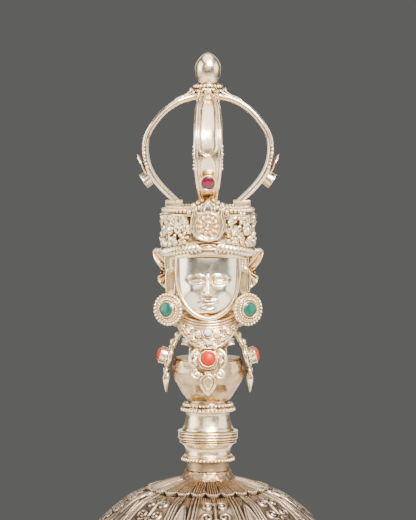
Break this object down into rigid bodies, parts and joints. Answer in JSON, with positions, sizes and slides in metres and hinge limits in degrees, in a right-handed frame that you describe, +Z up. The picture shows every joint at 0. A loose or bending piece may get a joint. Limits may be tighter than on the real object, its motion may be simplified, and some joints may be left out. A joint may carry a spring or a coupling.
{
  "type": "tibetan bell",
  "caption": "Ritual hand bell: cast bronze bell with a swinging clapper under a silver handle with a vase, a crowned head and a half vajra set with coloured stones.",
  "frame": {"origin": "centre of the bell's mouth, in the plane of its rim", "axes": "+Z up the handle to the bud, -Y the side the face looks to, +X to the right of a person who looks at the face"},
  "size_m": [0.099, 0.099, 0.2039],
  "materials": {
    "handle_silver": "worn polished silver, gold-toned in the recesses",
    "bell_bronze": "cast, brown-grey patina, bright on raised edges",
    "inner_brass": "turned, dull",
    "clapper_iron": "forged, dark",
    "ruby_glass": "polished",
    "emerald_glass": "polished",
    "coral_stone": "polished cabochon",
    "pearl_bead": "pearly"
  },
  "bodies": {
    "bell": {"base_collar": "handle_silver", "lower_neck": "handle_silver", "lower_bead_ring": "handle_silver", "lower_sleeve": "handle_silver", "lower_ridge_ring": "handle_silver", "upper_ridge_ring": "handle_silver", "upper_sleeve": "handle_silver", "wide_bead_ring": "handle_silver", "narrow_bead_ring": "handle_silver", "vase_bowl": "handle_silver", "vase_shoulder": "handle_silver", "vase_neck": "handle_silver", "tongue_flange": "handle_silver", "neck_sleeve": "handle_silver", "head_core": "handle_silver", "face_mask": "handle_silver", "necklace": "handle_silver", "ear_ribbon_left": "handle_silver", "ear_ribbon_right": "handle_silver", "earring_left": "handle_silver", "earring_right": "handle_silver", "crown_band": "handle_silver", "crown_leaf_front": "handle_silver", "crown_leaf_front_right": "handle_silver", "crown_leaf_back_right": "handle_silver", "crown_leaf_back_left": "handle_silver", "crown_leaf_front_left": "handle_silver", "crown_plate": "handle_silver", "centre_post": "handle_silver", "vajra_hub": "handle_silver", "top_bead_ring": "handle_silver", "finial_bud": "handle_silver", "pendant_right": "handle_silver", "pendant_back": "handle_silver", "pendant_left": "handle_silver", "pendant_front": "handle_silver", "prong_right": "handle_silver", "prong_back": "handle_silver", "prong_left": "handle_silver", "prong_front": "handle_silver", "bell_body": "bell_bronze", "crown_washer": "inner_brass", "vase_nut": "inner_brass", "eye_bolt": "clapper_iron", "ruby_right": "ruby_glass", "ruby_back": "ruby_glass", "ruby_left": "ruby_glass", "ruby_front": "ruby_glass", "emerald_left": "emerald_glass", "emerald_right": "emerald_glass", "coral_right": "coral_stone", "coral_back": "coral_stone", "coral_left": "coral_stone", "coral_front": "coral_stone", "necklace_pearl": "pearl_bead"},
    "link": {"clapper_link": "clapper_iron"},
    "clapper": {"clapper_stem": "clapper_iron", "clapper_bob": "clapper_iron"}
  },
  "joints": [
    {"name": "link_swing", "type": "hinge", "parent": "bell", "child": "link", "pos_m": [0, 0, 0.0665], "axis": [1, 0, 0], "range_deg": [-10, 10]},
    {"name": "clapper_swing", "type": "hinge", "parent": "link", "child": "clapper", "pos_m": [0, 0, 0.06195], "axis": [0, 1, 0], "range_deg": [-38, 38]}
  ]
}
